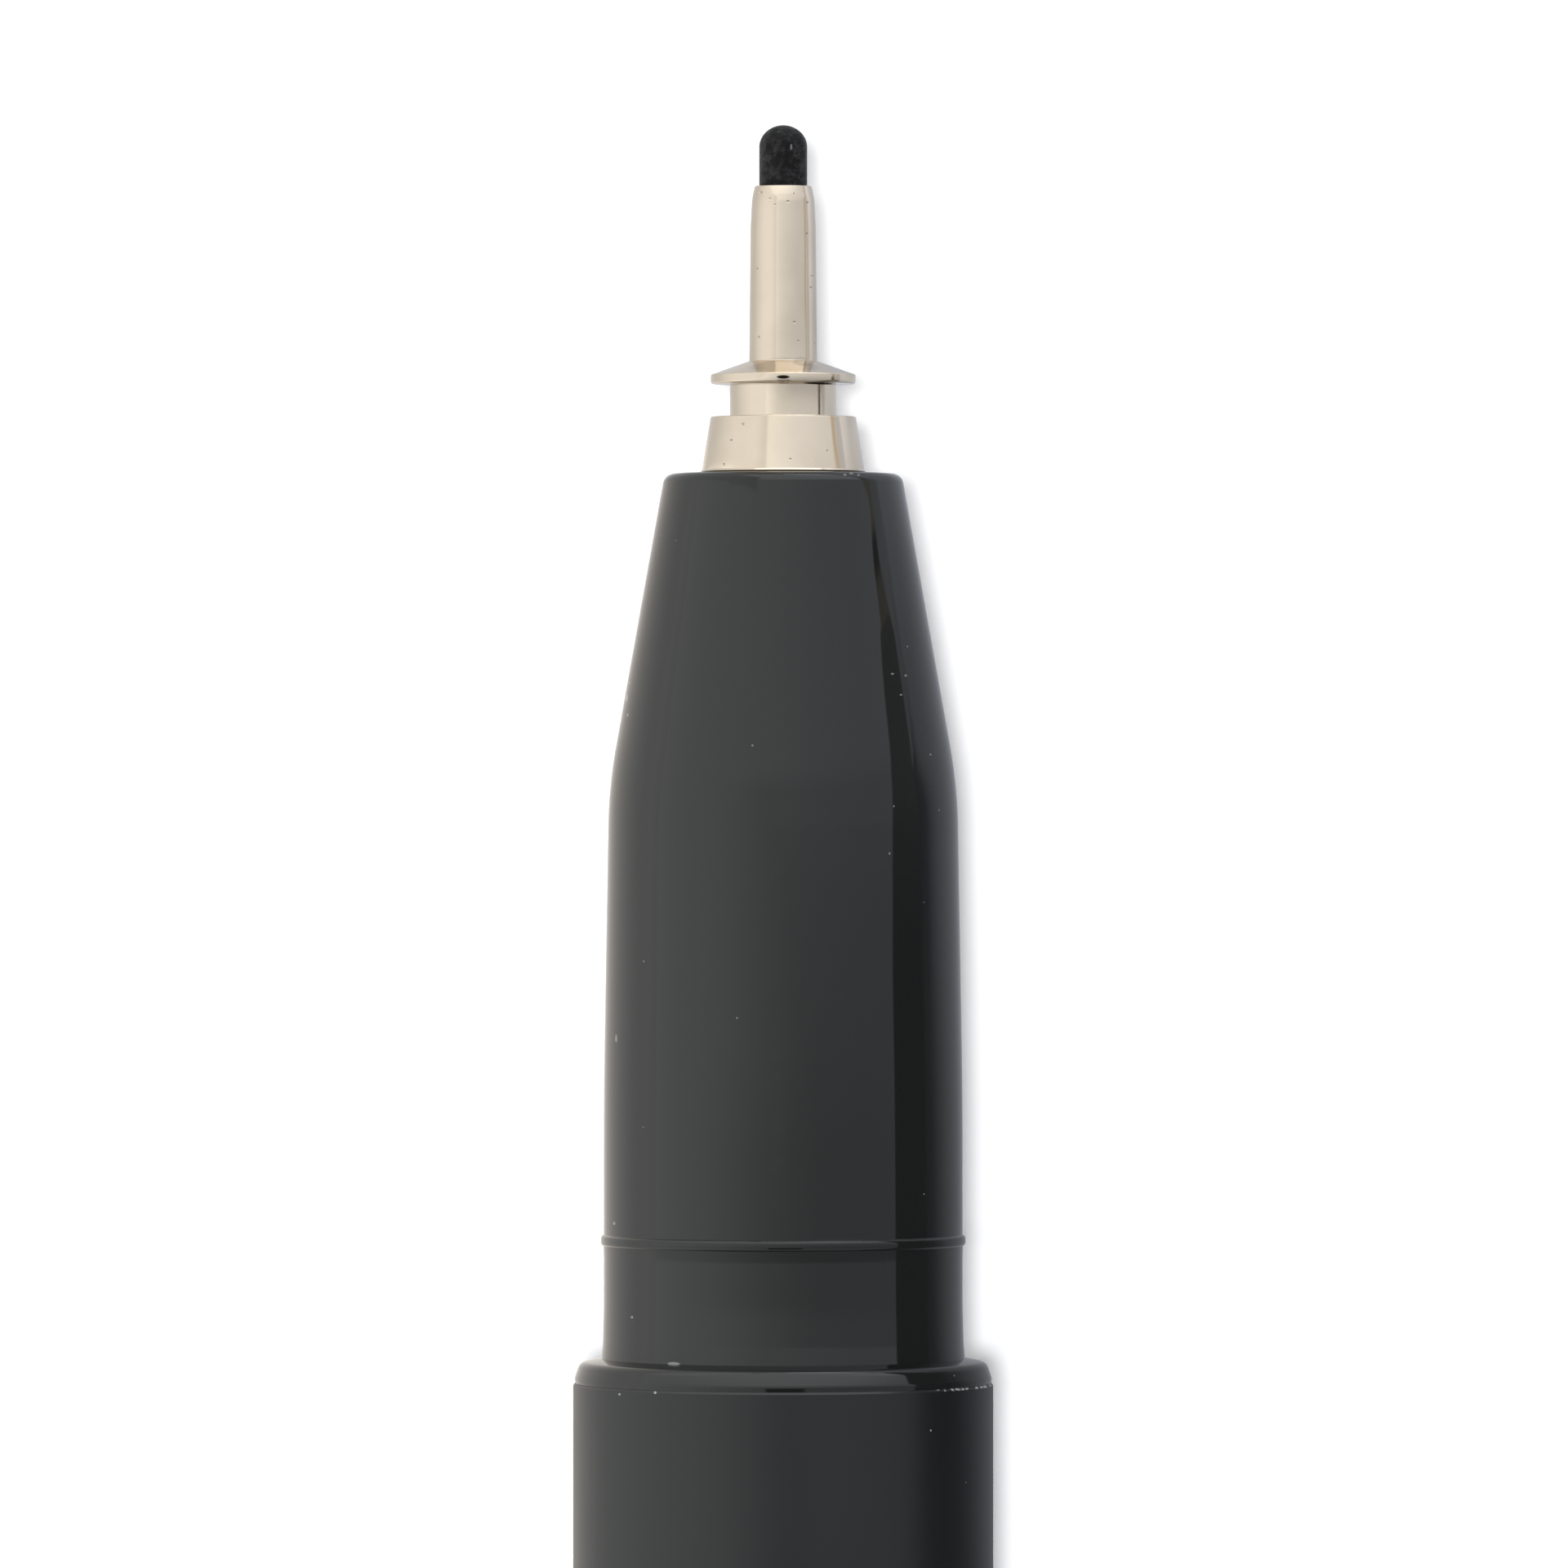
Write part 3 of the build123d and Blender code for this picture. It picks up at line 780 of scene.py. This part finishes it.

# Floor: a wide sheet of white paper that the pen lies on, evenly white where it is seen straight.
# Mirrored in the
# gloss it shows painted light and shade: bright on the left, and on the right a painted shadow of
# the black card beside the pen.
floor_place = -5.25
floor_half = 1500.0
floor_corners = np.array([[-1, -1, 0], [1, -1, 0], [1, 1, 0], [-1, 1, 0]]) * floor_half
floor = meshed("paper_floor", floor_corners + np.array([0, 0, floor_place]), [[0, 1, 2, 3]])
white_paper, tree, shader, place = finish("white_paper")
tree.nodes.remove(shader)
where = split(tree, place)
light_path = added(tree, "ShaderNodeLightPath", {}).outputs
fibres = noise(tree, place, 900.0, 3.0)
white = tinted(tree, fibres, (0.79, 0.79, 0.80), (0.81, 0.81, 0.81))
lit = added(tree, "ShaderNodeBsdfDiffuse", {"Color": white}).outputs[0]
glow = added(tree, "ShaderNodeEmission", {
    "Color": (0.97, 0.97, 1.0, 1.0),
    "Strength": figured(tree, "MULTIPLY", light_path["Is Camera Ray"], 0.25),
}).outputs[0]
seen = added(tree, "ShaderNodeAddShader", {0: lit, 1: glow}).outputs[0]


def mixed(tree, amount, plain, other):
    """A value between two, by an amount from 0 to 1."""
    return added(tree, "ShaderNodeMix", {0: amount, 2: plain, 3: other}).outputs[0]


# On the right the mirrored paper carries painted shade: it brightens towards the nib, and fades
# away from the pen.
lengthwise = figured(tree, "MULTIPLY_ADD", where["Y"], 9.5, 0.29)
past_nose = ranged(tree, where["Y"], 0.020, 0.030, 0.0, 0.25)
lengthwise = figured(tree, "MAXIMUM", figured(tree, "ADD", lengthwise, past_nose), 0.33)
slanted = figured(tree, "MULTIPLY_ADD", where["Y"], -0.3, where["X"])
slanted = figured(tree, "SUBTRACT", slanted, ranged(tree, where["Y"], 0.0155, 0.021, 0.0, 0.009))
fall = ranged(tree, slanted, 0.008, 0.024, 1.0, 0.3)
fall = figured(tree, "MULTIPLY", fall, ranged(tree, slanted, 0.024, 0.044, 1.0, 0.5))
shaded = figured(tree, "MAXIMUM", figured(tree, "MULTIPLY", lengthwise, fall), 0.04)
shaded = figured(tree, "MAXIMUM", shaded, ranged(tree, where["Y"], 0.0215, 0.0295, 0.0, 0.6))
far_right = ranged(tree, where["X"], 0.026, 0.034, 0.0, 0.5)
far_right = figured(tree, "MULTIPLY", far_right, ranged(tree, where["Y"], 0.0225, 0.0245))
shaded = figured(tree, "MAXIMUM", shaded, far_right)
# Painted shade on the mirrored paper under the holder's tube.
under_tube = ranged(tree, where["X"], 0.016, 0.004, 0.0, 0.28)
under_tube = figured(tree, "MULTIPLY", under_tube, ranged(tree, where["Y"], 0.0245, 0.0265))
shaded = figured(tree, "SUBTRACT", shaded, figured(tree, "MULTIPLY", under_tube, shaded))
# Behind the card's end it is plain again.
shaded = mixed(tree, ranged(tree, where["Y"], -0.075, -0.008), 0.7, shaded)
# On the left it brightens with the distance, and is cooler and dimmer close to the metal: painted
# light and painted shade.
far_left = ranged(tree, where["X"], -0.008, -0.060, 0.9, 1.15)
near_metal = ranged(tree, where["X"], -0.009, -0.006)
near_metal = figured(tree, "MULTIPLY", near_metal, ranged(tree, where["Y"], 0.023, 0.025))
far_left = figured(tree, "MULTIPLY_ADD", near_metal, -0.22, far_left)
near_pen = ranged(tree, where["X"], -0.016, -0.008)
left_tint = tinted(tree, near_pen, (1.0, 1.0, 0.98), (1.02, 0.96, 0.90))
left_tint = tinted(tree, near_metal, left_tint, (0.97, 0.98, 1.0))
to_right = ranged(tree, where["X"], -0.001, 0.001)
mirrored = added(tree, "ShaderNodeEmission", {
    "Color": tinted(tree, to_right, left_tint, (0.94, 0.98, 1.07)),
    "Strength": mixed(tree, to_right, far_left, shaded),
}).outputs[0]
paper_look = {0: light_path["Is Glossy Ray"], 1: seen, 2: mirrored}
paper_look = added(tree, "ShaderNodeMixShader", paper_look).outputs[0]
given(tree, tree.nodes["Material Output"], {"Surface": paper_look})
floor.data.materials.append(white_paper)


# Cards: what the gloss mirrors as bands. A black one hangs beside the pen and a dark thread goes on
# from it past the nib, a pale one stands close to the metal on the left, and a black one hangs high
# behind the pen.
def card(name, lower, upper, level, *steps, tint=(1.0, 1.0, 1.0)):
    """A card between a lower and an upper edge, each a row of points, seen only in reflections.

    Its brightness is a level plus eased steps, each written (axis, start, end, rise).
    """
    count = len(lower)
    at = np.arange(count - 1)
    faces = np.stack([at, at + 1, at + 1 + count, at + count], axis=-1).tolist()
    made = meshed(name, np.concatenate([lower, upper]), faces)
    material, tree, shader, place = finish(name)
    tree.nodes.remove(shader)
    where = split(tree, place)
    for axis, start, end, rise in steps:
        step = ranged(tree, where[axis], start * MM, end * MM, 0.0, rise)
        level = figured(tree, "ADD", step, level)
    paint = added(tree, "ShaderNodeEmission", {"Color": (*tint, 1.0), "Strength": level}).outputs[0]
    given(tree, tree.nodes["Material Output"], {"Surface": paint})
    made.data.materials.append(material)
    made.visible_camera = False
    made.visible_diffuse = False
    made.visible_shadow = False
    made.visible_transmission = False


def beside(along, height):
    """A row of points in the upright plane on the pen's right, at the given places and heights."""
    return np.stack([np.full_like(along, 18.0), along, height], axis=-1)


side_along = np.linspace(-72, 23.1, 120)
side_foot = np.interp(
    side_along,
    [1.3, 7.0, 12.0, 15.8, 17.6, 19.6, 22.6, 23.1],
    [-1.5, -0.9, -0.45, -0.1, 0.5, 0.0, -0.2, 0.5],
)
side_head = np.interp(
    side_along,
    [1.4, 10.3, 14.9, 18.3, 20.5, 21.5, 22.8, 23.1],
    [6.9, 7.4, 6.9, 6.4, 5.7, 5.5, 4.8, 4.3],
)
card(
    "side_card",
    beside(side_along, side_foot),
    beside(side_along, side_head),
    0.7,
    ("Y", -70, -6, -0.65),
    ("Y", 10, 18, 0.12),
)
thread_along = np.linspace(22.7, 34.0, 60)
thread_wave = 0.1 * np.sin(2.1 * thread_along)
thread_foot = np.interp(
    thread_along,
    [22.7, 23.0, 24.6, 25.6, 27.0, 28.0, 34.0],
    [0.2, 0.6, 1.5, 1.4, 1.1, 1.6, 0.0],
)
thread_head = np.interp(
    thread_along,
    [22.7, 23.2, 24.6, 25.6, 26.2, 27.0, 28.0, 34.0],
    [4.2, 3.95, 3.6, 3.1, 2.6, 2.5, 3.9, 2.6],
)
card(
    "dark_thread",
    beside(thread_along, thread_foot + thread_wave),
    beside(thread_along, thread_head + thread_wave),
    0.38,
    ("Y", 24.1, 24.7, -0.30),
    ("Y", 25.2, 26.2, 0.48),
    tint=(1.0, 0.88, 0.72),
)
card(
    "pale_card",
    np.array([(-5, 23.3, -5.2), (-5, 23.6, -1), (-5, 24.2, 5.5), (-5, 26.5, 12)]),
    np.array([(-5, 31.5, -5.2), (-5, 31.6, -1), (-5, 33.0, 5.5), (-5, 34.0, 12)]),
    0.68,
    ("Z", -2.8, 2.8, 0.3),
    ("Z", 5.5, 10.5, -0.12),
    ("Z", 10.3, 12, 0.07),
)
card(
    "rear_card",
    np.array([(-52, -36, 300), (64, -36, 300)]),
    np.array([(-52, -230, 300), (64, -230, 300)]),
    0.0,
)

# Light: a white studio, brighter beyond the nib and on the left, with one soft overhead lamp a
# little to the left, which lays the narrow shadow on the paper.
dim_level = 0.46
panel_level = 1.65
beam_depth = 0.21
soft_share = 0.65
world = bpy.data.worlds.new("studio")
bpy.context.scene.world = world
world.use_nodes = True
tree = world.node_tree
tree.nodes.clear()
toward = added(tree, "ShaderNodeTexCoord", {}).outputs["Generated"]
aim = split(tree, toward)
light_path = added(tree, "ShaderNodeLightPath", {}).outputs
# The light rises from a dim level to a bright one across a soft edge overhead. The edge lies
# further back on the left, and the bright side also grows brighter to the left.
left_part = figured(tree, "MINIMUM", aim["X"], 0.0)
edge_left = figured(tree, "MULTIPLY", figured(tree, "MULTIPLY", left_part, left_part), 0.20)
edge_right = ranged(tree, aim["Y"], 0.0, 0.05, 0.28, 0.55)
edge_across = figured(tree, "MULTIPLY_ADD", aim["X"], -0.42, 0.44)
edge_across = figured(tree, "MAXIMUM", edge_across, edge_right)
edge_near = figured(tree, "MAXIMUM", figured(tree, "MINIMUM", aim["Y"], 0.03), -0.05)
edge_near = figured(tree, "MULTIPLY", edge_near, 2.9)
edge_far = figured(tree, "MAXIMUM", figured(tree, "SUBTRACT", aim["Y"], 0.175), 0.0)
edge_far = figured(tree, "MULTIPLY", edge_far, 3.0)
edge_along = figured(tree, "ADD", edge_near, edge_far)
edge_along = figured(tree, "ADD", edge_along, figured(tree, "ADD", edge_left, edge_across))
bright_level = figured(tree, "MULTIPLY_ADD", aim["X"], -0.24, 1.03)
studio = mixed(tree, ranged(tree, edge_along, 0.0, 1.0), dim_level, bright_level)
# Beyond the nib stands the brightest panel, and a dark beam crosses the ceiling behind.
not_soft = figured(tree, "SUBTRACT", 1.0, light_path["Is Diffuse Ray"])
panel = figured(tree, "MULTIPLY", ranged(tree, aim["Y"], 0.40, 0.62), not_soft)
studio = mixed(tree, panel, studio, panel_level)
beam = ranged(tree, aim["Y"], -0.062, -0.085)
beam = figured(tree, "MULTIPLY", beam, ranged(tree, aim["Y"], -0.16, -0.125))
studio = figured(tree, "SUBTRACT", studio, figured(tree, "MULTIPLY", beam, beam_depth))
softened = mixed(tree, light_path["Is Diffuse Ray"], 1.0, soft_share)
studio = figured(tree, "MULTIPLY", studio, softened)
# Seen straight or through something clear, the studio is plain white.
plain_rays = (light_path["Is Camera Ray"], light_path["Is Transmission Ray"])
seen_white = figured(tree, "MAXIMUM", *plain_rays)
sky_tint = tinted(tree, ranged(tree, aim["X"], -0.6, 0.8), (0.985, 1.0, 0.985), (0.97, 0.99, 1.03))
sky = added(tree, "ShaderNodeBackground", {
    "Color": tinted(tree, seen_white, sky_tint, (1.0, 1.0, 1.0)),
    "Strength": mixed(tree, seen_white, studio, 1.0),
})
added(tree, "ShaderNodeOutputWorld", {"Surface": sky.outputs[0]})

lamp_data = bpy.data.lights.new("overhead_lamp", "SUN")
lamp_data.energy = 2.2
lamp_data.angle = np.radians(6.5)
lamp = bpy.data.objects.new("overhead_lamp", lamp_data)
lamp.rotation_euler = (0, np.radians(-3.0), 0)
lamp.visible_glossy = False
bpy.context.collection.objects.link(lamp)

# Camera: straight above the pen, the nib towards the top of the frame. The frame is square.
camera_data = bpy.data.cameras.new("overhead_camera")
camera_data.angle = np.radians(6.86)
camera_data.clip_start = 0.01
camera = bpy.data.objects.new("overhead_camera", camera_data)
camera.location = (0.02 * MM, 14.93 * MM, 327 * MM)
bpy.context.collection.objects.link(camera)
bpy.context.scene.camera = camera
bpy.context.scene.view_settings.view_transform = "Standard"
